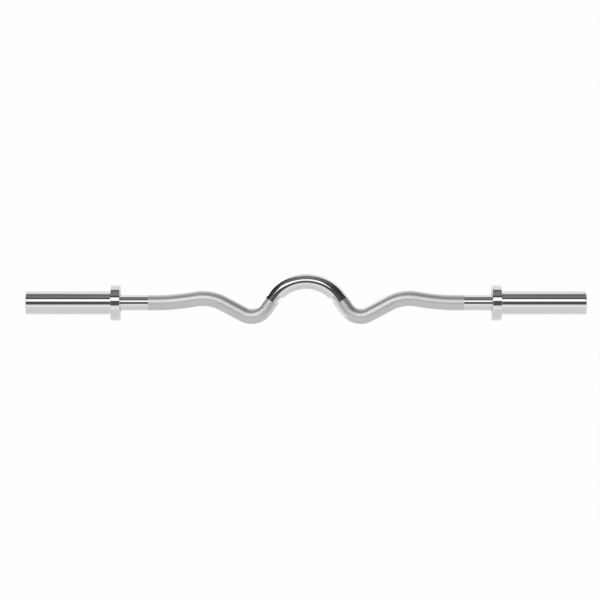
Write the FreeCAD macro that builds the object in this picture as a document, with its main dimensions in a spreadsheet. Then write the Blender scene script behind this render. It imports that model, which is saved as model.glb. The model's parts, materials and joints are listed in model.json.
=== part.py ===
"""EZ curl bar: a bent steel shaft with a plate sleeve that spins on each end.

Millimetres, +Z up. +X runs along the bar, the bends lie in the XZ plane with the middle bend up,
and the origin is half way along the bar, on the axis that both sleeves turn about.
"""
import FreeCAD, Part
import math
import os

import Sketcher

# Driving sizes: lengths in millimetres, angles in degrees
SIZES = {
    # Shaft, from the middle of the bar outwards: each bend's radius, then the straight run after it
    "shaft_diameter": 33,
    "crown_radius": 89.5,
    "steep_angle": 55,
    "steep_run": 27.5,
    "dip_radius": 36.5,
    "grip_angle": 28,
    "grip_run": 51,
    "hump_radius": 93,
    "entry_angle": 8.5,
    "entry_run": 21,
    "entry_radius": 470,
    "rack_run": 76.2,
    # Shaft end: a journal turned below the shaft's diameter, with a groove near its end
    "shoulder_step": 2.5,
    "shaft_groove_depth": 0.8,
    "shaft_stub": 3,
    "shaft_chamfer": 1,
    # Sleeve: walls count outwards from the bushes, depths count inwards from the outer end
    "sleeve_wall": 8.45,
    "load_length": 185,
    "sleeve_chamfer": 1,
    "mouth_chamfer": 0.8,
    "spigot_step": 1.5,
    "spigot_lap": 2,
    "relief_width": 1.5,
    "relief_depth": 0.5,
    "cap_ledge": 1.2,
    "cap_groove_depth": 1.2,
    "cap_ring_recess": 2,
    # Collar
    "collar_rim": 13,
    "collar_width": 20,
    "collar_chamfer": 0.5,
    "collar_bore_chamfer": 1,
    # Flanged bushes
    "bush_wall": 2.5,
    "bush_length": 30,
    "bush_lead": 0.6,
    "flange_step": 2.5,
    "flange_thickness": 2.5,
    # Thrust washers
    "washer_thickness": 2,
    "washer_relief": 0.6,
    # Retaining rings: an outside one on the shaft, an inside one over the end cap
    "shaft_ring_section": 2.6,
    "shaft_ring_thickness": 1.5,
    "cap_ring_section": 2.8,
    "cap_ring_thickness": 1.75,
    "ring_gap": 2,
    "lug_radius": 2.1,
    "lug_hole_radius": 1,
    # End cap
    "cap_thickness": 4,
    "cap_rim": 7,
    "cap_dish_depth": 1,
    "cap_gap": 2,
    # Dust seal
    "seal_recess": 1.5,
    "seal_width": 4,
    "seal_gap": 0.5,
    "seal_lip_width": 1.5,
    "seal_lip_height": 1,
    # Clearances: radial for a running, slipping or sealing fit, along the axis for the rest
    "running_clearance": 0.05,
    "slip_clearance": 0.05,
    "seal_clearance": 0.1,
    "end_float": 0.2,
    "groove_play": 0.1,
}

# Radii and places that follow from the driving sizes
PLACES = {
    # Radii, from the shaft outwards
    "shaft_radius": "Sizes.shaft_diameter / 2",
    "journal_radius": "shaft_radius - Sizes.shoulder_step",
    "shaft_groove_radius": "journal_radius - Sizes.shaft_groove_depth",
    "bush_bore_radius": "journal_radius + Sizes.running_clearance",
    "bush_radius": "bush_bore_radius + Sizes.bush_wall",
    "flange_radius": "bush_radius + Sizes.flange_step",
    "chamber_radius": "flange_radius + Sizes.slip_clearance",
    "washer_bore_radius": "journal_radius + Sizes.slip_clearance",
    "washer_radius": "chamber_radius - Sizes.washer_relief",
    "seal_bore_radius": "shaft_radius + Sizes.seal_clearance",
    "cap_seat_radius": "chamber_radius + Sizes.cap_ledge",
    "cap_groove_radius": "cap_seat_radius + Sizes.cap_groove_depth",
    "cap_radius": "cap_seat_radius - Sizes.slip_clearance",
    "sleeve_radius": "bush_radius + Sizes.sleeve_wall",
    "relief_radius": "sleeve_radius - Sizes.relief_depth",
    "spigot_radius": "relief_radius - Sizes.spigot_step",
    "collar_radius": "sleeve_radius + Sizes.collar_rim",
    # Retaining rings: where the lugs stand
    "shaft_ring_radius": "shaft_groove_radius + Sizes.shaft_ring_section",
    "cap_ring_bore_radius": "cap_groove_radius - Sizes.cap_ring_section",
    "lug_offset": "Sizes.lug_radius + Sizes.ring_gap / 2",
    "shaft_lug_reach": "washer_radius - Sizes.lug_radius",
    "shaft_lug_height": "sqrt(shaft_lug_reach ^ 2 - lug_offset ^ 2)",
    "cap_lug_height": "sqrt(cap_ring_bore_radius ^ 2 - lug_offset ^ 2)",
    # What each bend and run drops or climbs, and so the crown's height above the sleeves' axis
    "crown_drop": "Sizes.crown_radius * (1 - cos(Sizes.steep_angle))",
    "steep_drop": "Sizes.steep_run * sin(Sizes.steep_angle)",
    "dip_drop": "Sizes.dip_radius * (cos(Sizes.grip_angle) - cos(Sizes.steep_angle))",
    "grip_climb": "Sizes.grip_run * sin(Sizes.grip_angle)",
    "hump_climb": "Sizes.hump_radius * (cos(Sizes.entry_angle) - cos(Sizes.grip_angle))",
    "entry_drop": "Sizes.entry_run * sin(Sizes.entry_angle)",
    "last_bend_drop": "Sizes.entry_radius * (1 - cos(Sizes.entry_angle))",
    "inner_drop": "crown_drop + steep_drop + dip_drop",
    "crown_rise": "inner_drop - grip_climb - hump_climb + entry_drop + last_bend_drop",
    # How far each bend and run reaches along the bar, and so the distances from its middle
    "crown_reach": "Sizes.crown_radius * sin(Sizes.steep_angle)",
    "steep_reach": "Sizes.steep_run * cos(Sizes.steep_angle)",
    "dip_reach": "Sizes.dip_radius * (sin(Sizes.steep_angle) + sin(Sizes.grip_angle))",
    "grip_reach": "Sizes.grip_run * cos(Sizes.grip_angle)",
    "hump_reach": "Sizes.hump_radius * (sin(Sizes.grip_angle) + sin(Sizes.entry_angle))",
    "entry_reach": "Sizes.entry_run * cos(Sizes.entry_angle)",
    "last_bend_reach": "Sizes.entry_radius * sin(Sizes.entry_angle)",
    "inner_reach": "crown_reach + steep_reach + dip_reach",
    "bend_end": "inner_reach + grip_reach + hump_reach + entry_reach + last_bend_reach",
    "collar_place": "bend_end + Sizes.rack_run",
    "seal_place": "collar_place + Sizes.seal_recess",
    "shoulder_depth": "Sizes.seal_recess + Sizes.seal_width + Sizes.seal_gap",
    "shoulder_place": "collar_place + shoulder_depth",
    "inner_bush_place": "shoulder_place + Sizes.washer_thickness + Sizes.end_float",
    "sleeve_length": "Sizes.collar_width + Sizes.load_length",
    "cap_groove_width": "Sizes.cap_ring_thickness + Sizes.groove_play",
    "cap_seat_depth": "Sizes.cap_ring_recess + cap_groove_width + Sizes.cap_thickness",
    "cap_place": "collar_place + sleeve_length - cap_seat_depth",
    "cap_ring_place": "cap_place + Sizes.cap_thickness",
    "shaft_end_place": "cap_place - Sizes.cap_gap",
    "shaft_ring_place": "shaft_end_place - Sizes.shaft_stub - Sizes.shaft_ring_thickness",
    "outer_washer_place": "shaft_ring_place - Sizes.washer_thickness",
    "outer_bush_place": "outer_washer_place - Sizes.end_float",
    # Floors of the sleeve's counterbores, from the sleeve's inner end
    "inner_floor": "inner_bush_place + Sizes.flange_thickness - collar_place",
    "outer_floor": "outer_bush_place - Sizes.flange_thickness - collar_place",
}

SIDES = ("left", "right")
QUARTER_TURN, HALF_TURN, FULL_TURN = 90, 180, 360

# Indexes that a sketch gives to its origin, to its two axes and to the points of a line or an arc
ORIGIN_INDEXES = (-1, 1)
ACROSS_AXIS_INDEX = -1
UP_AXIS_INDEX = -2
START_INDEX, END_INDEX, CENTRE_INDEX = 1, 2, 3


def fill_sheet(doc, name, cells):
    """A sheet with a name, a value and an alias on each row."""
    sheet = doc.addObject("Spreadsheet::Sheet", name)
    for row, (alias, content) in enumerate(cells.items(), start=1):
        sheet.set(f"A{row}", alias)
        sheet.set(f"B{row}", content)
        sheet.setAlias(f"B{row}", alias)
    doc.recompute()


def value_of(item, expression):
    """The number that an expression over the sheets gives now."""
    return float(item.evalExpression(expression))


def origin_feature(body, role):
    """The body's own origin plane or axis with that role."""
    return next(feature for feature in body.Origin.OriginFeatures if feature.Role == role)


def new_body(doc, label):
    """An empty body whose label names the sub-part."""
    body = doc.addObject("PartDesign::Body", label)
    body.Label = label
    return body


def new_sketch(body, name, plane):
    """An empty sketch on one of the body's own origin planes."""
    sketch = body.newObject("Sketcher::SketchObject", f"{body.Name}_{name}")
    sketch.AttachmentSupport = [(origin_feature(body, plane), "")]
    sketch.MapMode = "FlatFace"
    return sketch


def new_feature(body, kind, name, sketch):
    """A feature of the body that is made from a sketch."""
    feature = body.newObject(f"PartDesign::{kind}", f"{body.Name}_{name}")
    feature.Profile = sketch
    return feature


def join(sketch, kind, *geometry):
    """A constraint without a size."""
    sketch.addConstraint(Sketcher.Constraint(kind, *geometry))


def size(sketch, kind, geometry, expression):
    """A constraint whose size follows an expression over the sheets."""
    number = value_of(sketch, expression)
    if kind == "Angle":
        number = math.radians(number)
    index = sketch.addConstraint(Sketcher.Constraint(kind, *geometry, number))
    sketch.setExpression(f"Constraints[{index}]", expression)


def fix_point(sketch, point, across, up):
    """Ties a sketch point to the origin by its two coordinates."""
    ties = (("DistanceX", UP_AXIS_INDEX, across), ("DistanceY", ACROSS_AXIS_INDEX, up))
    for kind, zero_line, expression in ties:
        if expression == "0":
            join(sketch, "PointOnObject", *point, zero_line)
        else:
            size(sketch, kind, (*ORIGIN_INDEXES, *point), expression)


def draw_outline(sketch, corners):
    """A closed outline of straight lines, with each corner a pair of expressions."""
    points = [FreeCAD.Vector(value_of(sketch, across), value_of(sketch, up), 0) for across, up in corners]
    ends = points[1:] + points[:1]
    lines = [sketch.addGeometry(Part.LineSegment(start, end)) for start, end in zip(points, ends)]
    for line, following in zip(lines, lines[1:] + lines[:1]):
        join(sketch, "Coincident", line, END_INDEX, following, START_INDEX)
    for line, (across, up) in zip(lines, corners):
        fix_point(sketch, (line, START_INDEX), across, up)


def draw_circle(sketch, across, up, radius):
    """A circle whose centre and radius are expressions."""
    centre = FreeCAD.Vector(value_of(sketch, across), value_of(sketch, up), 0)
    circle = sketch.addGeometry(Part.Circle(centre, FreeCAD.Vector(0, 0, 1), value_of(sketch, radius)))
    fix_point(sketch, (circle, CENTRE_INDEX), across, up)
    size(sketch, "Radius", (circle,), radius)


def turn_outline(body, name, corners):
    """Revolves an outline, given as distances along the axis and radii, about the body's X axis."""
    sketch = new_sketch(body, f"{name}_outline", "XZ_Plane")
    draw_outline(sketch, corners)
    turning = new_feature(body, "Revolution", name, sketch)
    turning.ReferenceAxis = (sketch, ["H_Axis"])
    turning.Angle = FULL_TURN
    return turning


def turned_piece(doc, label, corners):
    """A lathe-turned piece along its own X axis."""
    body = new_body(doc, label)
    turn_outline(body, "turning", corners)
    return body


def place_piece(body, side, place, faces_inboard=False):
    """Stands a piece on the bar's axis at its distance from the middle, facing outboard or inboard."""
    turned_round = (side == "left") != faces_inboard
    angle = HALF_TURN if turned_round else 0
    body.Placement = FreeCAD.Placement(FreeCAD.Vector(), FreeCAD.Rotation(FreeCAD.Vector(0, 0, 1), angle))
    body.setExpression(".Placement.Base.x", place if side == "right" else f"-{place}")
    return body


def heading(slope):
    """The unit vector of a direction in a sketch that climbs at that slope."""
    return FreeCAD.Rotation(FreeCAD.Vector(0, 0, 1), slope).multVec(FreeCAD.Vector(1, 0, 0))


class Route:
    """Half of the shaft's middle line, drawn from the crown outwards as tangent arcs and straight runs."""

    def __init__(self, sketch):
        self.sketch = sketch
        self.point = FreeCAD.Vector(0, value_of(sketch, "Places.crown_rise"), 0)
        self.slope = 0
        self.last = None

    def follow(self, geometry, start, end):
        """Joins the next piece of the route smoothly to the one before."""
        if self.last is not None:
            join(self.sketch, "Tangent", *self.last, geometry, start)
        self.last = (geometry, end)

    def bend(self, radius, slope):
        """An arc from the present slope to the next one. Returns its number in the sketch."""
        length = value_of(self.sketch, radius)
        new_slope = value_of(self.sketch, slope)
        upwards = new_slope > self.slope
        side = QUARTER_TURN if upwards else -QUARTER_TURN
        centre = self.point + heading(self.slope + side) * length
        start = heading(self.slope - side)
        end = heading(new_slope - side)
        middle = (start + end).normalize()
        arc = self.sketch.addGeometry(Part.Arc(self.point, centre + middle * length, centre + end * length))
        size(self.sketch, "Radius", (arc,), radius)
        self.follow(arc, START_INDEX if upwards else END_INDEX, END_INDEX if upwards else START_INDEX)
        self.point = centre + end * length
        self.slope = new_slope
        return arc

    def run(self, length):
        """A straight run along the present slope. Returns its number in the sketch."""
        end = self.point + heading(self.slope) * value_of(self.sketch, length)
        line = self.sketch.addGeometry(Part.LineSegment(self.point, end))
        size(self.sketch, "Distance", (line,), length)
        self.follow(line, START_INDEX, END_INDEX)
        self.point = end
        return line


def draw_route(sketch):
    """The middle line from the crown's top to the shoulder inside the sleeve."""
    route = Route(sketch)
    crown = route.bend("Sizes.crown_radius", "-Sizes.steep_angle")
    steep = route.run("Sizes.steep_run")
    route.bend("Sizes.dip_radius", "Sizes.grip_angle")
    grip = route.run("Sizes.grip_run")
    route.bend("Sizes.hump_radius", "-Sizes.entry_angle")
    entry = route.run("Sizes.entry_run")
    route.bend("Sizes.entry_radius", "0")
    rack = route.run("Sizes.rack_run + Places.shoulder_depth")
    size(sketch, "Angle", (steep,), "-Sizes.steep_angle")
    size(sketch, "Angle", (grip,), "Sizes.grip_angle")
    size(sketch, "Angle", (entry,), "-Sizes.entry_angle")
    join(sketch, "PointOnObject", crown, CENTRE_INDEX, UP_AXIS_INDEX)
    join(sketch, "PointOnObject", crown, END_INDEX, UP_AXIS_INDEX)
    join(sketch, "PointOnObject", rack, END_INDEX, ACROSS_AXIS_INDEX)
    join(sketch, "Horizontal", rack)


def build_shaft(doc):
    """The bent shaft: half is swept and turned, then mirrored across the middle of the bar."""
    body = new_body(doc, "shaft")
    route = new_sketch(body, "route", "XZ_Plane")
    draw_route(route)
    section = new_sketch(body, "section", "YZ_Plane")
    draw_circle(section, "0", "Places.crown_rise", "Places.shaft_radius")
    doc.recompute()
    bar = new_feature(body, "AdditivePipe", "bar", section)
    bar.Spine = (route, [])
    groove = "Places.shaft_ring_place - Sizes.groove_play"
    stub = "Places.shaft_end_place - Sizes.shaft_stub"
    journal = turn_outline(body, "journal", (
        ("Places.shoulder_place", "0"),
        ("Places.shoulder_place", "Places.journal_radius"),
        (groove, "Places.journal_radius"),
        (groove, "Places.shaft_groove_radius"),
        (stub, "Places.shaft_groove_radius"),
        (stub, "Places.journal_radius"),
        ("Places.shaft_end_place - Sizes.shaft_chamfer", "Places.journal_radius"),
        ("Places.shaft_end_place", "Places.journal_radius - Sizes.shaft_chamfer"),
        ("Places.shaft_end_place", "0"),
    ))
    doc.recompute()
    both_halves = body.newObject("PartDesign::Mirrored", "shaft_both_halves")
    both_halves.Originals = [bar, journal]
    both_halves.MirrorPlane = (origin_feature(body, "YZ_Plane"), [""])
    body.Tip = both_halves
    return body


def build_sleeve(doc, side):
    """The tube that carries the plates: bored for two bushes, relieved beside the collar, open outside."""
    mouth = "Places.sleeve_length - Sizes.mouth_chamfer"
    ring_face = "Places.sleeve_length - Sizes.cap_ring_recess"
    cap_face = f"{ring_face} - Places.cap_groove_width"
    ledge = "Places.sleeve_length - Places.cap_seat_depth"
    spigot_end = "Sizes.collar_width - Sizes.spigot_lap"
    relief_end = "Sizes.collar_width + Sizes.relief_width"
    body = turned_piece(doc, f"{side}_sleeve", (
        ("0", "Places.chamber_radius"),
        ("0", "Places.spigot_radius"),
        (spigot_end, "Places.spigot_radius"),
        (spigot_end, "Places.relief_radius"),
        (relief_end, "Places.relief_radius"),
        (relief_end, "Places.sleeve_radius"),
        ("Places.sleeve_length - Sizes.sleeve_chamfer", "Places.sleeve_radius"),
        ("Places.sleeve_length", "Places.sleeve_radius - Sizes.sleeve_chamfer"),
        ("Places.sleeve_length", "Places.cap_seat_radius + Sizes.mouth_chamfer"),
        (mouth, "Places.cap_seat_radius"),
        (ring_face, "Places.cap_seat_radius"),
        (ring_face, "Places.cap_groove_radius"),
        (cap_face, "Places.cap_groove_radius"),
        (cap_face, "Places.cap_seat_radius"),
        (ledge, "Places.cap_seat_radius"),
        (ledge, "Places.chamber_radius"),
        ("Places.outer_floor", "Places.chamber_radius"),
        ("Places.outer_floor", "Places.bush_radius"),
        ("Places.inner_floor", "Places.bush_radius"),
        ("Places.inner_floor", "Places.chamber_radius"),
    ))
    return place_piece(body, side, "Places.collar_place")


def build_collar(doc, side):
    """The flange ring that stops the plates, pressed on the sleeve's spigot against its shoulder."""
    lap = "Sizes.collar_width - Sizes.spigot_lap"
    rim = "Places.collar_radius - Sizes.collar_chamfer"
    body = turned_piece(doc, f"{side}_collar", (
        ("0", "Places.spigot_radius"),
        ("0", rim),
        ("Sizes.collar_chamfer", "Places.collar_radius"),
        ("Sizes.collar_width - Sizes.collar_chamfer", "Places.collar_radius"),
        ("Sizes.collar_width", rim),
        ("Sizes.collar_width", "Places.relief_radius + Sizes.collar_bore_chamfer"),
        ("Sizes.collar_width - Sizes.collar_bore_chamfer", "Places.relief_radius"),
        (lap, "Places.relief_radius"),
        (lap, "Places.spigot_radius"),
    ))
    return place_piece(body, side, "Places.collar_place")


def build_bush(doc, side, end):
    """A flanged bronze bush, pressed into one end of the sleeve with its flange outside."""
    bush_end = "Sizes.flange_thickness + Sizes.bush_length"
    body = turned_piece(doc, f"{side}_{end}_bush", (
        ("0", "Places.bush_bore_radius"),
        ("0", "Places.flange_radius"),
        ("Sizes.flange_thickness", "Places.flange_radius"),
        ("Sizes.flange_thickness", "Places.bush_radius"),
        (f"{bush_end} - Sizes.bush_lead", "Places.bush_radius"),
        (bush_end, "Places.bush_radius - Sizes.bush_lead"),
        (bush_end, "Places.bush_bore_radius"),
    ))
    return place_piece(body, side, f"Places.{end}_bush_place", faces_inboard=end == "outer")


def build_washer(doc, side, end, place):
    """A flat thrust washer on the journal."""
    body = turned_piece(doc, f"{side}_{end}_thrust_washer", (
        ("0", "Places.washer_bore_radius"),
        ("0", "Places.washer_radius"),
        ("Sizes.washer_thickness", "Places.washer_radius"),
        ("Sizes.washer_thickness", "Places.washer_bore_radius"),
    ))
    return place_piece(body, side, place)


def build_seal(doc, side):
    """The rubber ring in the sleeve's inner mouth, whose lip runs round the shaft."""
    body = turned_piece(doc, f"{side}_dust_seal", (
        ("0", "Places.seal_bore_radius"),
        ("0", "Places.chamber_radius"),
        ("Sizes.seal_width", "Places.chamber_radius"),
        ("Sizes.seal_width", "Places.seal_bore_radius + Sizes.seal_lip_height"),
        ("Sizes.seal_lip_width", "Places.seal_bore_radius"),
    ))
    return place_piece(body, side, "Places.seal_place")


def build_cap(doc, side):
    """The disc with a shallow dish that closes the sleeve's outer end."""
    dish_radius = "Places.cap_radius - Sizes.cap_rim"
    dish_floor = "Sizes.cap_thickness - Sizes.cap_dish_depth"
    body = turned_piece(doc, f"{side}_end_cap", (
        ("0", "0"),
        ("0", "Places.cap_radius"),
        ("Sizes.cap_thickness", "Places.cap_radius"),
        ("Sizes.cap_thickness", dish_radius),
        (dish_floor, f"{dish_radius} - Sizes.cap_dish_depth"),
        (dish_floor, "0"),
    ))
    return place_piece(body, side, "Places.cap_place")


def build_ring(doc, label, bore, outside, lug_height, thickness):
    """A spring-steel retaining ring: an open band with a lug and a plier hole at each end."""
    body = new_body(doc, label)
    lugs = (("Places.lug_offset", lug_height), ("-Places.lug_offset", lug_height))
    band = new_sketch(body, "band", "YZ_Plane")
    draw_circle(band, "0", "0", bore)
    draw_circle(band, "0", "0", outside)
    eyes = new_sketch(body, "eyes", "YZ_Plane")
    opening = new_sketch(body, "opening", "YZ_Plane")
    for across, up in lugs:
        draw_circle(eyes, across, up, "Sizes.lug_radius")
        draw_circle(opening, across, up, "Sizes.lug_hole_radius")
    past_lugs = f"{outside} + 2 * Sizes.lug_radius"
    draw_outline(opening, (
        ("-Sizes.ring_gap / 2", "0"),
        ("Sizes.ring_gap / 2", "0"),
        ("Sizes.ring_gap / 2", past_lugs),
        ("-Sizes.ring_gap / 2", past_lugs),
    ))
    for name, sketch in (("band_pad", band), ("eyes_pad", eyes)):
        pad = new_feature(body, "Pad", name, sketch)
        pad.setExpression("Length", thickness)
    doc.recompute()
    whole = body.Shape.Volume
    cut = new_feature(body, "Pocket", "opening_cut", opening)
    cut.Type = "ThroughAll"
    cut.Reversed = True
    doc.recompute()
    if not body.Shape.Volume < whole:
        raise RuntimeError(f"the gap of {label} cuts nothing")
    return body


def build_shaft_ring(doc, side):
    """The outside ring in the shaft's groove, which keeps the sleeve on."""
    body = build_ring(
        doc, f"{side}_shaft_retaining_ring", "Places.shaft_groove_radius", "Places.shaft_ring_radius",
        "Places.shaft_lug_height", "Sizes.shaft_ring_thickness")
    return place_piece(body, side, "Places.shaft_ring_place")


def build_cap_ring(doc, side):
    """The inside ring in the sleeve's groove, which keeps the end cap in."""
    body = build_ring(
        doc, f"{side}_end_cap_retaining_ring", "Places.cap_ring_bore_radius", "Places.cap_groove_radius",
        "Places.cap_lug_height", "Sizes.cap_ring_thickness")
    return place_piece(body, side, "Places.cap_ring_place")


def build_side(doc, side):
    """Everything that is fitted to one end of the shaft."""
    return [
        build_sleeve(doc, side),
        build_collar(doc, side),
        build_bush(doc, side, "inner"),
        build_bush(doc, side, "outer"),
        build_washer(doc, side, "inner", "Places.shoulder_place"),
        build_washer(doc, side, "outer", "Places.outer_washer_place"),
        build_seal(doc, side),
        build_shaft_ring(doc, side),
        build_cap(doc, side),
        build_cap_ring(doc, side),
    ]


def check(doc, pieces):
    """Stops if anything in the document failed, or a piece isn't one sound solid."""
    for item in doc.Objects:
        if {"Invalid", "Error"} & set(item.State):
            raise RuntimeError(f"{item.Label} failed: {item.State}")
    for piece in pieces:
        if piece.Shape.isNull() or not piece.Shape.isValid() or len(piece.Shape.Solids) != 1:
            raise RuntimeError(f"{piece.Label} isn't one sound solid")


def main():
    doc = FreeCAD.newDocument("ez_curl_bar")
    fill_sheet(doc, "Sizes", {alias: str(number) for alias, number in SIZES.items()})
    fill_sheet(doc, "Places", {alias: f"={formula}" for alias, formula in PLACES.items()})
    pieces = [build_shaft(doc)]
    for side in SIDES:
        pieces += build_side(doc, side)
    doc.recompute()
    check(doc, pieces)
    os.makedirs("parts", exist_ok=True)
    for piece in pieces:
        piece.Shape.exportStep(os.path.join("parts", f"{piece.Label}.step"))
        print(piece.Label, round(piece.Shape.Volume, 1))


main()
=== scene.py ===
"""An EZ curl bar in a white studio: a bent, knurled shaft between two spinning plate sleeves.

Metres and degrees. +X runs along the bar, +Z is up and the viewer looks along +Y.
"""
import json
import math

import bpy
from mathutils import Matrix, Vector


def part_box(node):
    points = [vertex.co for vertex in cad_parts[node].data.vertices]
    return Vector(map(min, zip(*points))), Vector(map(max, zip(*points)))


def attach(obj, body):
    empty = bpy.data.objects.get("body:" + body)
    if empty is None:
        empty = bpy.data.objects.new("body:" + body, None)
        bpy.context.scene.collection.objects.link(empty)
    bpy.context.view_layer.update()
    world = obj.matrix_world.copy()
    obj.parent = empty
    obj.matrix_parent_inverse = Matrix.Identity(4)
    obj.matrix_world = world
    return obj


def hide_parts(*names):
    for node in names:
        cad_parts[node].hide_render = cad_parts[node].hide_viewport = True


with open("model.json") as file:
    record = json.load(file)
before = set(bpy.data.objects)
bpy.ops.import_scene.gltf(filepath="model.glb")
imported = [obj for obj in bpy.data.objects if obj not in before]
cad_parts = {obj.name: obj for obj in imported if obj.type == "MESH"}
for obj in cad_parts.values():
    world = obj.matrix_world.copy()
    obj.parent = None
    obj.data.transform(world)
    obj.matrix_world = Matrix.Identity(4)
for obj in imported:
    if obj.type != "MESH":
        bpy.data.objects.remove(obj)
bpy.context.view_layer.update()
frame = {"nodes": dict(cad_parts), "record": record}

# Bends of the shaft, from the middle outwards
CROWN_RADIUS = 0.0895
STEEP_ANGLE = 55
STEEP_RUN = 0.0275
DIP_RADIUS = 0.0365
GRIP_ANGLE = 28
GRIP_RUN = 0.051
HUMP_RADIUS = 0.093
ENTRY_ANGLE = 8.5
ENTRY_RUN = 0.021
ENTRY_RADIUS = 0.470

# Ends of the shaft
SHAFT_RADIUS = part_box("shaft")[1].y
JOURNAL_RADIUS = 0.014
GROOVE_RADIUS = 0.0132
GROOVE_PLAY = 0.0001
END_CHAMFER = 0.001
SHOULDER_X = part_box("right_inner_thrust_washer")[0].x
GROOVE_START_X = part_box("right_shaft_retaining_ring")[0].x
GROOVE_END_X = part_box("right_shaft_retaining_ring")[1].x + GROOVE_PLAY
SHAFT_END_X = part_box("shaft")[1].x

# Knurl: two sets of rolled grooves that leave rows of shallow diamonds
KNURL_LEAD = 0.0055
KNURL_END_X = 0.344
KNURL_COLUMNS = 96
KNURL_ANGLE = 30
KNURL_DEPTH = 0.00004

# Mesh of the shaft: points round it, rings along the crown, and the least angle of a sharp edge
RING_POINTS = 2 * KNURL_COLUMNS
RING_SPACING = 0.00225
SHARP_ANGLE = 20

# Surface textures: heights, marks per metre along each axis, and the part of a noise's range that counts
POLISH_HEIGHT = 0.00001
TURNING_HEIGHT = 0.00001
PORE_HEIGHT = 0.00005
GRINDING_HEIGHT = 0.00002
CRYSTAL_HEIGHT = 0.00003
MOULDING_HEIGHT = 0.00004
TURNING_SCALE = (2500, 6, 6)
GRINDING_SCALE = (300, 3000, 300)
TEXTURE_LOW = 0.3
TEXTURE_HIGH = 0.7

# Camera: the photograph's scale at the bar, the bar's middle in its frame, and the sensor in millimetres
PICTURE_PIXELS = 600
PIXEL_SIZE = 0.00218
BAR_MIDDLE_PIXEL = (306.1, 302.75)
CAMERA_DISTANCE = 6.7
CAMERA_TILT = 90
SENSOR_WIDTH = 36

# Floor: a pale disc with painted shade, a greyer pool, below the bar
FLOOR_DEPTH = 1.0
FLOOR_RADIUS = 60
FLOOR_POINTS = 96
FLOOR_SHADOW_RADIUS = 2.1

# Bands round the bar: their tops as angles above it, and the headings where they change
BAND_RADIUS = 3.1
BAND_STEP = 5
BAND_TOP_ANGLE = 12.6
LOW_BAND_TOP_ANGLE = -5
GREY_BAND_TOP_ANGLE = 6
SIDE_BAND_START = 60
SIDE_BAND_END = 120
BACK_BAND_END = 240

# Wall in front with a softbox, and a light for the knurls; corners are headings and angles above the bar
WALL_DISTANCE = 20
WALL_HALF_WIDTH = 50
WALL_TOP_ANGLE = 47
SOFTBOX_DISTANCE = 19.8
SOFTBOX_CORNERS = [
    (-7, 12.6), (10.5, 12.6), (14, 20), (14.7, 28), (14.5, 34.4), (-10, 34.4),
    (-17, 36), (-24, 38.6), (-33, 38.2), (-27, 28), (-23.5, 20), (-22, 12.6),
    (-19.5, 12.6), (-21, 17), (-18, 17.4), (-11.4, 16.3), (-9, 15.6),
]
KNURL_LIGHT_DISTANCE = 2.9
KNURL_LIGHT_CORNERS = [(-38, -7), (14, -7), (22.5, 22), (22.5, 39), (-38, 39)]

# Ceiling with its bowed back edge, the pool of light on it, and the side panels below it
CEILING_HEIGHT = 4.2
CEILING_HALF_WIDTH = 6.0
CEILING_FRONT_Y = -4.2
CEILING_RIGHT_CORNER_Y = 1.1
CEILING_LEFT_CORNER_Y = 0.4
CEILING_RIGHT_EDGE = [(3.8, 1.5), (2.6, 1.3), (0.65, 0.42)]
CEILING_BOW = [(-0.65, 0.42), (-1.5, 1.05), (-2.6, 2.8), (-3.8, 2.7), (-4.8, 1.9)]
BOW_LIGHT_DROP = 0.01
CEILING_POOL_Y = -2.3
CEILING_POOL_RADIUS = 3.8
SIDE_PANEL_BACK_Y = 2.4
LEFT_PANEL_LOW = 1.7
RIGHT_PANEL_LOW = 0.65

# Clear lights behind the bar on the left
BACK_LIGHT_X = (-8.4, -1.5)
BACK_LIGHT_Y = 6.0
BACK_LIGHT_Z = (0, 5.3)
LEFT_LIGHT_X = -7.0
LEFT_LIGHT_Y = (1.0, 9.0)
LEFT_LIGHT_Z = (0, 14.0)
KNURL_RIM_LIGHT_X = -5.0
KNURL_RIM_LIGHT_Y = (-0.5, 7.0)
KNURL_RIM_LIGHT_Z = (1.5, 5.0)

# Panels and clear lights that lie just above the floor
PANEL_LIFT = 0.005
FLOOR_PANEL_Z = PANEL_LIFT - FLOOR_DEPTH
FRONT_PANEL_X = (-0.95, 0.95)
FRONT_PANEL_Y = (-1.75, -1.15)
SHADE_PANEL_X = (0.95, 3.0)
SHADE_PANEL_Y = (-3.0, -0.75)
FLOOR_LIGHT_X = (0.9, 1.3)
LEFT_FLOOR_LIGHT_Y = (0.9, 3.0)
RIGHT_FLOOR_LIGHT_Y = (0.45, 3.0)
WIDE_FLOOR_LIGHT_X = (-1.5, -0.7)
WIDE_FLOOR_LIGHT_Y = (-0.3, 3.0)
WIDE_FLOOR_LIGHT_Z = FLOOR_PANEL_Z + PANEL_LIFT

# Brightness of the surround, the panels and the clear lights
WORLD_LEVEL = 0.99
DARK_BAND_LEVEL = 0.105
GREY_BAND_LEVEL = 0.78
WALL_LEVEL = 0.06
SOFTBOX_LEVEL = 1.45
SIDE_PANEL_LEVEL = 0.05
CEILING_EDGE_LEVEL = 0.045
CEILING_POOL_LEVEL = 0.32
FRONT_PANEL_LEVEL = 1.06
SHADE_PANEL_LEVEL = 0.67
BACK_LIGHT_LEVEL = 0.7
LEFT_LIGHT_LEVEL = 1.2
FLOOR_LIGHT_LEVEL = 0.75
KNURL_LIGHT_LEVEL = 1.08
KNURL_RIM_LIGHT_LEVEL = 1.2
BOW_LIGHT_LEVEL = 1.7

FULL_TURN = 2 * math.pi
TOWARDS_VIEWER = Vector((0, -1, 0))
OPAQUE_WHITE = (1, 1, 1, 1)


def bend(radius, turn):
    """A bend as its length and its curvature; a turn upwards is positive."""
    return abs(math.radians(turn)) * radius, math.copysign(1, turn) / radius


def run(length):
    """A straight stretch as its length and its curvature."""
    return length, 0


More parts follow.
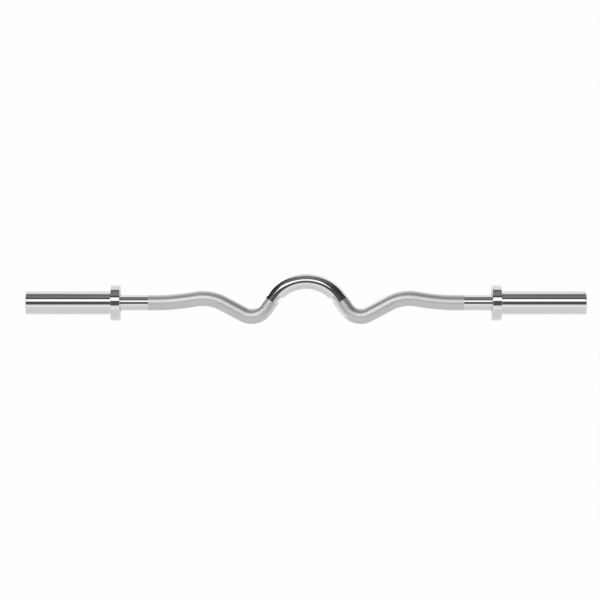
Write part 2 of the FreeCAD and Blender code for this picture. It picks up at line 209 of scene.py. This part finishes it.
HALF_ROUTE = [
    bend(CROWN_RADIUS, -STEEP_ANGLE),
    run(STEEP_RUN),
    bend(DIP_RADIUS, STEEP_ANGLE + GRIP_ANGLE),
    run(GRIP_RUN),
    bend(HUMP_RADIUS, -GRIP_ANGLE - ENTRY_ANGLE),
    run(ENTRY_RUN),
    bend(ENTRY_RADIUS, ENTRY_ANGLE),
]


def follow(distance, height):
    """Place and heading at a distance along the right half, when the bar's middle is at a height."""
    x, z, heading = 0, height, 0
    remaining = distance
    for length, curvature in HALF_ROUTE:
        used = min(remaining, length)
        remaining -= used
        if curvature == 0:
            x += used * math.cos(heading)
            z += used * math.sin(heading)
        else:
            turned = heading + used * curvature
            x += (math.sin(turned) - math.sin(heading)) / curvature
            z -= (math.cos(turned) - math.cos(heading)) / curvature
            heading = turned
    return x + remaining, z, heading


BENT_LENGTH = sum(length for length, curvature in HALF_ROUTE)
BENT_END_X, MIDDLE_DROP, _ = follow(BENT_LENGTH, 0)
CROWN_LENGTH = HALF_ROUTE[0][0]


def distance_at(x):
    """Distance along the bar of a place on its straight right end."""
    return BENT_LENGTH + x - BENT_END_X


def section(distance):
    """Centre and upward direction of the shaft's section at a signed distance from the middle."""
    x, z, heading = follow(abs(distance), -MIDDLE_DROP)
    side = math.copysign(1, distance)
    return Vector((side * x, 0, z)), Vector((-side * math.sin(heading), 0, math.cos(heading)))


def shown(thing):
    """Links an object to the scene."""
    bpy.context.scene.collection.objects.link(thing)
    return thing


class Skin:
    """The points and faces of one mesh, gathered ring by ring along the shaft."""

    def __init__(self):
        self.points = []
        self.grooves = []
        self.faces = []

    def point(self, distance, column, radius, groove=0):
        """Adds a point of the shaft's surface; column counts round the ring from the viewer upwards."""
        centre, upward = section(distance)
        angle = FULL_TURN * column / RING_POINTS
        outward = math.cos(angle) * TOWARDS_VIEWER + math.sin(angle) * upward
        self.points.append(centre + radius * outward)
        self.grooves.append(groove)
        return len(self.points) - 1

    def ring(self, distance, radius):
        """Adds a plain ring of points."""
        return [self.point(distance, column, radius) for column in range(RING_POINTS)]

    def tube(self, rings):
        """Joins rings with a smooth skin."""
        for first, second in zip(rings[:-1], rings[1:]):
            for column in range(RING_POINTS):
                after = (column + 1) % RING_POINTS
                self.faces.append((first[column], second[column], second[after], first[after]))

    def lid(self, ring, distance, faces_right):
        """Closes an end of the shaft."""
        middle = self.point(distance, 0, 0)
        for column in range(RING_POINTS):
            edge = (ring[column], ring[(column + 1) % RING_POINTS])
            self.faces.append((middle, *(reversed(edge) if faces_right else edge)))

    def knurl(self, start, end):
        """Rows of diamonds with grooves between them, from one plain ring to another."""
        width = FULL_TURN * SHAFT_RADIUS / KNURL_COLUMNS
        row_count = round((end - start) / (width / math.tan(math.radians(KNURL_ANGLE)) / 2))
        rows = []
        for row in range(row_count + 1):
            distance = start + (end - start) * row / row_count
            depth = KNURL_DEPTH if 0 < row < row_count else 0
            places = [(column, (row + column) % 2) for column in range(RING_POINTS)]
            rows.append([self.knurl_point(distance, column, depth, groove) for column, groove in places])
        for row in range(row_count + 1):
            for column in range(row % 2, RING_POINTS, 2):
                self.diamond(rows, row, column)

    def knurl_point(self, distance, column, depth, groove):
        """A diamond's tip, or the bottom of the crossing between grooves."""
        return self.point(distance, column, SHAFT_RADIUS - groove * depth, groove)

    def diamond(self, rows, row, column):
        """The slopes from a diamond's tip to the crossings round it, of which a plain ring has half."""
        tip = rows[row][column]
        before = rows[row][column - 1]
        after = rows[row][(column + 1) % RING_POINTS]
        if row > 0:
            back = rows[row - 1][column]
            self.faces += [(tip, back, before), (tip, after, back)]
        if row < len(rows) - 1:
            front = rows[row + 1][column]
            self.faces += [(tip, before, front), (tip, front, after)]

    def piece(self, name, material):
        """Makes the Blender object, as part of the shaft."""
        mesh = bpy.data.meshes.new(name)
        mesh.from_pydata(self.points, [], self.faces)
        mesh.materials.append(material)
        # The groove mask is 1 at the groove crossings; the knurl's finish paints shade into its colour
        # with it.
        mesh.attributes.new("groove", "FLOAT", "POINT").data.foreach_set("value", self.grooves)
        mesh.shade_smooth()
        mesh.set_sharp_from_angle(angle=math.radians(SHARP_ANGLE))
        mesh.validate()
        made = shown(bpy.data.objects.new(name, mesh))
        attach(made, "bar")
        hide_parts("shaft")
        return made


def end_stations():
    """Distance and radius of each ring on a plain end of the shaft, outwards from the knurl."""
    corners = [
        (KNURL_END_X, SHAFT_RADIUS),
        (SHOULDER_X, SHAFT_RADIUS),
        (SHOULDER_X, JOURNAL_RADIUS),
        (GROOVE_START_X, JOURNAL_RADIUS),
        (GROOVE_START_X, GROOVE_RADIUS),
        (GROOVE_END_X, GROOVE_RADIUS),
        (GROOVE_END_X, JOURNAL_RADIUS),
        (SHAFT_END_X - END_CHAMFER, JOURNAL_RADIUS),
        (SHAFT_END_X, JOURNAL_RADIUS - END_CHAMFER),
    ]
    return [(distance_at(x), radius) for x, radius in corners]


def build_plain_shaft(knurl_start, ends):
    """The crown and both plain ends of the shaft."""
    skin = Skin()
    shaft_end = ends[-1][0]
    crown_rings = round(2 * knurl_start / RING_SPACING)
    crown_places = [knurl_start * (2 * ring / crown_rings - 1) for ring in range(crown_rings + 1)]
    left = [skin.ring(-distance, radius) for distance, radius in reversed(ends)]
    right = [skin.ring(distance, radius) for distance, radius in ends]
    skin.lid(left[0], -shaft_end, False)
    skin.tube(left)
    skin.tube([skin.ring(distance, SHAFT_RADIUS) for distance in crown_places])
    skin.tube(right)
    skin.lid(right[-1], shaft_end, True)
    return skin.piece("plain_shaft", polished_chrome())


def build_shaft():
    """The bent shaft, knurled on both sides of its crown. Returns the plain and the knurled pieces."""
    ends = end_stations()
    knurl_start = CROWN_LENGTH + KNURL_LEAD
    knurl_end = ends[0][0]
    plain = build_plain_shaft(knurl_start, ends)
    satin = knurled_chrome()
    knurls = []
    stretches = {"left_knurl": (-knurl_end, -knurl_start), "right_knurl": (knurl_start, knurl_end)}
    for name, (start, end) in stretches.items():
        skin = Skin()
        skin.knurl(start, end)
        knurls.append(skin.piece(name, satin))
    return plain, knurls


def grey(level):
    """A neutral colour."""
    return level, level, level


class Finish:
    """A material, its shader, and short ways to add and link nodes."""

    def __init__(self, name, colour, metallic, roughness):
        self.material = bpy.data.materials.new(name)
        self.material.use_nodes = True
        self.tree = self.material.node_tree
        self.shader = self.tree.nodes["Principled BSDF"]
        self.shader.inputs["Base Color"].default_value = (*colour, 1)
        self.shader.inputs["Metallic"].default_value = metallic
        self.shader.inputs["Roughness"].default_value = roughness

    def add(self, kind, **inputs):
        """Adds a node and sets or links its inputs by name."""
        node = self.tree.nodes.new(kind)
        for name, value in inputs.items():
            self.feed(node.inputs[name.replace("_", " ")], value)
        return node

    def feed(self, socket, value):
        """Sets an input, or links it to another node's output."""
        if isinstance(value, bpy.types.NodeSocket):
            self.tree.links.new(value, socket)
        else:
            socket.default_value = value

    def place(self):
        """The place on the piece."""
        return self.add("ShaderNodeTexCoord").outputs["Object"]

    def stretched(self, scale):
        """The place on the piece, scaled differently along each axis."""
        return self.add("ShaderNodeMapping", Vector=self.place(), Scale=scale).outputs["Vector"]

    def noise(self, scale, detail, vector=None):
        """A noise texture, by default with the same scale along each axis."""
        node = self.add("ShaderNodeTexNoise", Vector=vector or self.place(), Scale=scale, Detail=detail)
        return node.outputs["Fac"]

    def vary_roughness(self, texture, at_low, at_high):
        """Lets the roughness follow the middle of a texture's range."""
        node = self.add("ShaderNodeMapRange", Value=texture, From_Min=TEXTURE_LOW, From_Max=TEXTURE_HIGH)
        self.feed(node.inputs["To Min"], at_low)
        self.feed(node.inputs["To Max"], at_high)
        self.feed(self.shader.inputs["Roughness"], node.outputs["Result"])

    def vary_colour(self, texture, at_low, at_high):
        """Lets the colour follow a texture."""
        node = self.tree.nodes.new("ShaderNodeMix")
        node.data_type = "RGBA"
        self.feed(node.inputs["Factor"], texture)
        colour_inputs = [socket for socket in node.inputs if socket.type == "RGBA"]
        for socket, colour in zip(colour_inputs, (at_low, at_high)):
            socket.default_value = (*colour, 1)
        mixed = next(socket for socket in node.outputs if socket.type == "RGBA")
        self.feed(self.shader.inputs["Base Color"], mixed)

    def bump(self, texture, strength, height):
        """Lets the surface rise and fall with a texture."""
        node = self.add("ShaderNodeBump", Height=texture, Strength=strength, Distance=height)
        self.feed(self.shader.inputs["Normal"], node.outputs["Normal"])


def polished_chrome():
    """Bright chrome plate with faint polishing haze."""
    finish = Finish("polished_chrome", colour=grey(0.70), metallic=1, roughness=0.05)
    haze = finish.noise(scale=40, detail=4)
    finish.vary_roughness(haze, at_low=0.035, at_high=0.07)
    finish.vary_colour(haze, at_low=grey(0.69), at_high=grey(0.71))
    finish.bump(finish.noise(scale=900, detail=2), strength=0.02, height=POLISH_HEIGHT)
    return finish.material


def knurled_chrome():
    """Chrome plate over the knurl: satin, with painted shade that darkens its colour down in the
    grooves.
    """
    finish = Finish("knurled_chrome", colour=grey(0.66), metallic=0.86, roughness=0.41)
    groove = finish.add("ShaderNodeAttribute")
    groove.attribute_name = "groove"
    # Painted shade: the colour darkens from the diamonds' tips to the groove crossings, standing in for
    # the relief that smooth shading hides.
    finish.vary_colour(groove.outputs["Fac"], at_low=grey(0.73), at_high=grey(0.51))
    finish.vary_roughness(finish.noise(scale=700, detail=3), at_low=0.39, at_high=0.43)
    return finish.material


def turned_chrome():
    """Chrome plate over a turned surface, with faint lines round the axis."""
    finish = Finish("turned_chrome", colour=grey(0.70), metallic=1, roughness=0.05)
    lines = finish.noise(scale=1, detail=3, vector=finish.stretched(TURNING_SCALE))
    finish.vary_roughness(lines, at_low=0.03, at_high=0.045)
    finish.vary_colour(lines, at_low=grey(0.69), at_high=grey(0.71))
    finish.bump(lines, strength=0.01, height=TURNING_HEIGHT)
    return finish.material


def bronze():
    """Oil-soaked sintered bronze with fine pores."""
    finish = Finish("sintered_bronze", colour=(0.62, 0.44, 0.22), metallic=1, roughness=0.4)
    pores = finish.noise(scale=2500, detail=3)
    finish.vary_colour(pores, at_low=(0.48, 0.32, 0.14), at_high=(0.70, 0.52, 0.28))
    finish.vary_roughness(pores, at_low=0.5, at_high=0.32)
    finish.bump(pores, strength=0.3, height=PORE_HEIGHT)
    return finish.material


def ground_steel():
    """Flat-ground steel with a fine grain."""
    finish = Finish("ground_steel", colour=(0.56, 0.57, 0.58), metallic=1, roughness=0.3)
    grain = finish.noise(scale=1, detail=3, vector=finish.stretched(GRINDING_SCALE))
    finish.vary_roughness(grain, at_low=0.24, at_high=0.4)
    finish.vary_colour(grain, at_low=(0.52, 0.53, 0.54), at_high=(0.60, 0.61, 0.62))
    finish.bump(grain, strength=0.1, height=GRINDING_HEIGHT)
    return finish.material


def spring_steel():
    """Dark phosphated spring steel."""
    finish = Finish("phosphated_steel", colour=(0.09, 0.09, 0.095), metallic=0.7, roughness=0.5)
    crystals = finish.noise(scale=1800, detail=4)
    finish.vary_colour(crystals, at_low=(0.06, 0.06, 0.065), at_high=(0.13, 0.13, 0.135))
    finish.vary_roughness(crystals, at_low=0.42, at_high=0.6)
    finish.bump(crystals, strength=0.2, height=CRYSTAL_HEIGHT)
    return finish.material


def seal_rubber():
    """Matt black rubber with a fine moulded grain."""
    finish = Finish("seal_rubber", colour=grey(0.03), metallic=0, roughness=0.7)
    grain = finish.noise(scale=3000, detail=2)
    finish.vary_colour(grain, at_low=grey(0.022), at_high=grey(0.04))
    finish.vary_roughness(grain, at_low=0.6, at_high=0.8)
    finish.bump(grain, strength=0.2, height=MOULDING_HEIGHT)
    return finish.material


def dress_nodes():
    """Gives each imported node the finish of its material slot."""
    finishes = {
        "chrome": turned_chrome(),
        "bronze": bronze(),
        "ground_steel": ground_steel(),
        "spring_steel": spring_steel(),
        "seal_rubber": seal_rubber(),
    }
    for subpart in frame["record"]["subparts"]:
        node = frame["nodes"][subpart["node"]]
        for slot in node.material_slots:
            slot.material = finishes[subpart["material_slot"]]


def glow(name, level):
    """A plain panel colour of its own brightness."""
    material = bpy.data.materials.new(name)
    material.use_nodes = True
    nodes = material.node_tree.nodes
    nodes.clear()
    light = nodes.new("ShaderNodeEmission")
    light.inputs["Color"].default_value = OPAQUE_WHITE
    light.inputs["Strength"].default_value = level
    surface = nodes.new("ShaderNodeOutputMaterial")
    material.node_tree.links.new(light.outputs["Emission"], surface.inputs["Surface"])
    return material


def clear_glow(name, level):
    """A glow that lets what is behind it show through."""
    material = glow(name, level)
    tree = material.node_tree
    through = tree.nodes.new("ShaderNodeBsdfTransparent")
    both = tree.nodes.new("ShaderNodeAddShader")
    tree.links.new(tree.nodes["Emission"].outputs["Emission"], both.inputs[0])
    tree.links.new(through.outputs["BSDF"], both.inputs[1])
    tree.links.new(both.outputs["Shader"], tree.nodes["Material Output"].inputs["Surface"])
    return material


def round_pool(tree, radius, y):
    """A texture that falls from 1 at a place on the y axis to 0 at a radius round it."""
    place = tree.nodes.new("ShaderNodeTexCoord")
    around = tree.nodes.new("ShaderNodeMapping")
    around.inputs["Scale"].default_value = (1 / radius, 1 / radius, 0)
    around.inputs["Location"].default_value = (0, -y / radius, 0)
    pool = tree.nodes.new("ShaderNodeTexGradient")
    pool.gradient_type = "SPHERICAL"
    tree.links.new(place.outputs["Object"], around.inputs["Vector"])
    tree.links.new(around.outputs["Vector"], pool.inputs["Vector"])
    return pool.outputs["Fac"]


def panel(name, corners, faces, material):
    """A studio panel that only reflections see."""
    mesh = bpy.data.meshes.new(name)
    mesh.from_pydata(corners, [], faces)
    mesh.materials.append(material)
    board = shown(bpy.data.objects.new(name, mesh))
    board.visible_camera = False
    board.visible_diffuse = False
    board.visible_shadow = False
    return board


def sheet_panel(name, corners, material):
    """A flat panel with these corners."""
    return panel(name, corners, [range(len(corners))], material)


def upright(name, across, y, upward, material):
    """A panel that stands across the studio; across and upward are its ranges of x and z."""
    (left, right), (low, high) = across, upward
    corners = [(left, y, low), (right, y, low), (right, y, high), (left, y, high)]
    return sheet_panel(name, corners, material)


def sideways(name, x, along, upward, material):
    """A panel that stands along the studio; along and upward are its ranges of y and z."""
    (front, back), (low, high) = along, upward
    corners = [(x, front, low), (x, back, low), (x, back, high), (x, front, high)]
    return sheet_panel(name, corners, material)


def lying(name, across, along, z, material):
    """A level panel; across and along are its ranges of x and y."""
    (left, right), (front, back) = across, along
    corners = [(left, front, z), (right, front, z), (right, back, z), (left, back, z)]
    return sheet_panel(name, corners, material)


def height_at(distance, angle):
    """Height that stands at an angle above the bar from a distance."""
    return distance * math.tan(math.radians(angle))


def curved(name, first, last, low, high, material):
    """An upright panel bent round the bar between two headings, counted from the viewer towards +X."""
    corners = []
    for heading in range(first, last + 1, BAND_STEP):
        turn = math.radians(heading)
        x, y = BAND_RADIUS * math.sin(turn), -BAND_RADIUS * math.cos(turn)
        corners += [(x, y, low), (x, y, high)]
    faces = [(i, i + 2, i + 3, i + 1) for i in range(0, len(corners) - 2, 2)]
    panel(name, corners, faces, material)


def aimed(distance, heading, elevation):
    """The place on a wall in front that a heading and an elevation from the bar meet."""
    turn = math.radians(heading)
    return distance * math.tan(turn), -distance, height_at(distance, elevation) / math.cos(turn)


def facing_panel(name, distance, corners, material):
    """A panel on an upright plane in front, whose corners are headings and elevations from the bar."""
    return sheet_panel(name, [aimed(distance, *corner) for corner in corners], material)


def horizon_bands():
    """Bands round the bar: dark in front and low down behind it, light grey elsewhere."""
    dark = glow("dark_band", DARK_BAND_LEVEL)
    light_grey = glow("grey_band", GREY_BAND_LEVEL)
    floor = -FLOOR_DEPTH
    top = height_at(BAND_RADIUS, BAND_TOP_ANGLE)
    low_top = height_at(BAND_RADIUS, LOW_BAND_TOP_ANGLE)
    grey_top = height_at(BAND_RADIUS, GREY_BAND_TOP_ANGLE)
    curved("front_band", -SIDE_BAND_START, SIDE_BAND_START, floor, top, dark)
    curved("right_band", SIDE_BAND_START, SIDE_BAND_END, floor, grey_top, light_grey)
    curved("left_band", -SIDE_BAND_END, -SIDE_BAND_START, floor, grey_top, light_grey)
    curved("low_back_band", SIDE_BAND_END, BACK_BAND_END, floor, low_top, dark)
    curved("high_back_band", SIDE_BAND_END, BACK_BAND_END, low_top, grey_top, light_grey)


def build_front():
    """A dark wall in front with a wide softbox."""
    across = (-WALL_HALF_WIDTH, WALL_HALF_WIDTH)
    upward = (0, height_at(WALL_DISTANCE, WALL_TOP_ANGLE))
    upright("front_wall", across, -WALL_DISTANCE, upward, glow("wall_panel", WALL_LEVEL))
    facing_panel("softbox", SOFTBOX_DISTANCE, SOFTBOX_CORNERS, glow("softbox_light", SOFTBOX_LEVEL))


def ceiling_glow():
    """A dark ceiling, lighter in a pool above the front of the bar."""
    material = glow("ceiling_panel", CEILING_POOL_LEVEL)
    tree = material.node_tree
    level = tree.nodes.new("ShaderNodeMapRange")
    level.inputs["To Min"].default_value = CEILING_EDGE_LEVEL
    level.inputs["To Max"].default_value = CEILING_POOL_LEVEL
    tree.links.new(round_pool(tree, CEILING_POOL_RADIUS, CEILING_POOL_Y), level.inputs["Value"])
    tree.links.new(level.outputs["Result"], tree.nodes["Emission"].inputs["Strength"])
    return material


def build_ceiling():
    """A dark ceiling over the front of the studio, with dark sides below it."""
    dark = glow("side_panel", SIDE_PANEL_LEVEL)
    side = CEILING_HALF_WIDTH
    edge = [
        (-side, CEILING_FRONT_Y),
        (side, CEILING_FRONT_Y),
        (side, CEILING_RIGHT_CORNER_Y),
        *CEILING_RIGHT_EDGE,
        *CEILING_BOW,
        (-side, CEILING_LEFT_CORNER_Y),
    ]
    along = (CEILING_FRONT_Y, SIDE_PANEL_BACK_Y)
    sheet_panel("ceiling_panel", [(x, y, CEILING_HEIGHT) for x, y in edge], ceiling_glow())
    sideways("left_side_panel", -side, along, (LEFT_PANEL_LOW, CEILING_HEIGHT), dark)
    sideways("right_side_panel", side, along, (RIGHT_PANEL_LOW, CEILING_HEIGHT), dark)


def build_floor_panels():
    """A lighter and two greyer parts of the floor in front of the bar."""
    shade = glow("floor_shade", SHADE_PANEL_LEVEL)
    shine = glow("front_light", FRONT_PANEL_LEVEL)
    lying("front_floor_light", FRONT_PANEL_X, FRONT_PANEL_Y, FLOOR_PANEL_Z, shine)
    for name, side in (("left_floor_shade", -1), ("right_floor_shade", 1)):
        lying(name, [side * x for x in SHADE_PANEL_X], SHADE_PANEL_Y, FLOOR_PANEL_Z, shade)


def build_panels():
    """Everything that the chrome mirrors."""
    horizon_bands()
    build_front()
    build_ceiling()
    build_floor_panels()


def reaches(light, receivers):
    """Lets a light reach these pieces alone."""
    group = bpy.data.collections.new(f"lit_by_{light.name}")
    for receiver in receivers:
        group.objects.link(receiver)
    light.light_linking.receiver_collection = group


def build_rim_lights(pieces):
    """Clear panels on the left behind the bar, which whiten the rims of the shaft that face them."""
    shine = clear_glow("back_light", BACK_LIGHT_LEVEL)
    reaches(upright("back_light", BACK_LIGHT_X, BACK_LIGHT_Y, BACK_LIGHT_Z, shine), pieces)
    shine = clear_glow("left_light", LEFT_LIGHT_LEVEL)
    reaches(sideways("left_light", LEFT_LIGHT_X, LEFT_LIGHT_Y, LEFT_LIGHT_Z, shine), pieces)


def build_floor_lights(plain_shaft, left_knurl, right_knurl):
    """Clear panels over the floor, which whiten the shaft's lower rims beside the crown."""
    shine = clear_glow("floor_light", FLOOR_LIGHT_LEVEL)
    left_x = [-x for x in FLOOR_LIGHT_X]
    left = lying("left_floor_light", left_x, LEFT_FLOOR_LIGHT_Y, FLOOR_PANEL_Z, shine)
    right = lying("right_floor_light", FLOOR_LIGHT_X, RIGHT_FLOOR_LIGHT_Y, FLOOR_PANEL_Z, shine)
    wide = lying("wide_floor_light", WIDE_FLOOR_LIGHT_X, WIDE_FLOOR_LIGHT_Y, WIDE_FLOOR_LIGHT_Z, shine)
    reaches(left, [plain_shaft])
    reaches(right, [plain_shaft, left_knurl])
    reaches(wide, [right_knurl])


def build_knurl_light(pieces):
    """A clear panel in front for the knurls, as satin shows less of the softbox than polished chrome."""
    shine = clear_glow("knurl_light", KNURL_LIGHT_LEVEL)
    reaches(facing_panel("knurl_light", KNURL_LIGHT_DISTANCE, KNURL_LIGHT_CORNERS, shine), pieces)


def build_knurl_rim_light(piece):
    """A clear panel on the left behind the bar, which lightens the steep rim of the left knurl."""
    shine = clear_glow("knurl_rim_light", KNURL_RIM_LIGHT_LEVEL)
    board = sideways("knurl_rim_light", KNURL_RIM_LIGHT_X, KNURL_RIM_LIGHT_Y, KNURL_RIM_LIGHT_Z, shine)
    reaches(board, [piece])


def build_bow_light(pieces):
    """A clear panel below the ceiling's bow, so that the bow darkens the plain shaft alone."""
    height = CEILING_HEIGHT - BOW_LIGHT_DROP
    shine = clear_glow("bow_light", BOW_LIGHT_LEVEL)
    reaches(sheet_panel("bow_light", [(x, y, height) for x, y in CEILING_BOW], shine), pieces)


def floor_finish():
    """A pale floor with painted shade: a little greyer in a pool below the bar."""
    finish = Finish("pale_floor", colour=grey(0.95), metallic=0, roughness=0.9)
    # Painted shadow: the colour greys from white at the pool's rim to 0.81 right below the bar.
    finish.vary_colour(round_pool(finish.tree, FLOOR_SHADOW_RADIUS, 0), at_low=grey(1), at_high=grey(0.81))
    finish.shader.inputs["Specular IOR Level"].default_value = 0
    return finish.material


def build_floor():
    """A wide round floor well below the bar."""
    mesh = bpy.data.meshes.new("floor")
    corners = []
    for point in range(FLOOR_POINTS):
        angle = FULL_TURN * point / FLOOR_POINTS
        corners.append((FLOOR_RADIUS * math.cos(angle), FLOOR_RADIUS * math.sin(angle), 0))
    mesh.from_pydata(corners, [], [range(FLOOR_POINTS)])
    mesh.materials.append(floor_finish())
    floor = shown(bpy.data.objects.new("floor", mesh))
    floor.location.z = -FLOOR_DEPTH


def build_world():
    """An even white surround that lights the bar softly from all sides."""
    world = bpy.data.worlds.new("white_studio")
    world.use_nodes = True
    background = world.node_tree.nodes["Background"]
    background.inputs["Color"].default_value = OPAQUE_WHITE
    background.inputs["Strength"].default_value = WORLD_LEVEL
    bpy.context.scene.world = world


def build_camera():
    """The photograph's view: square on to the plane of the bends."""
    data = bpy.data.cameras.new("camera")
    data.sensor_width = SENSOR_WIDTH
    data.lens = SENSOR_WIDTH * CAMERA_DISTANCE / (PICTURE_PIXELS * PIXEL_SIZE)
    camera = shown(bpy.data.objects.new("camera", data))
    middle = PICTURE_PIXELS / 2
    across = (middle - BAR_MIDDLE_PIXEL[0]) * PIXEL_SIZE
    above = (BAR_MIDDLE_PIXEL[1] - middle) * PIXEL_SIZE
    camera.location = (across, -CAMERA_DISTANCE, above)
    camera.rotation_euler = (math.radians(CAMERA_TILT), 0, 0)
    bpy.context.scene.camera = camera


bpy.context.scene.view_settings.view_transform = "Standard"
build_camera()
build_world()
build_floor()
dress_nodes()
plain_shaft, knurls = build_shaft()
build_panels()
build_rim_lights([plain_shaft, *knurls])
build_floor_lights(plain_shaft, *knurls)
build_knurl_light(knurls)
build_knurl_rim_light(knurls[0])
build_bow_light(knurls)
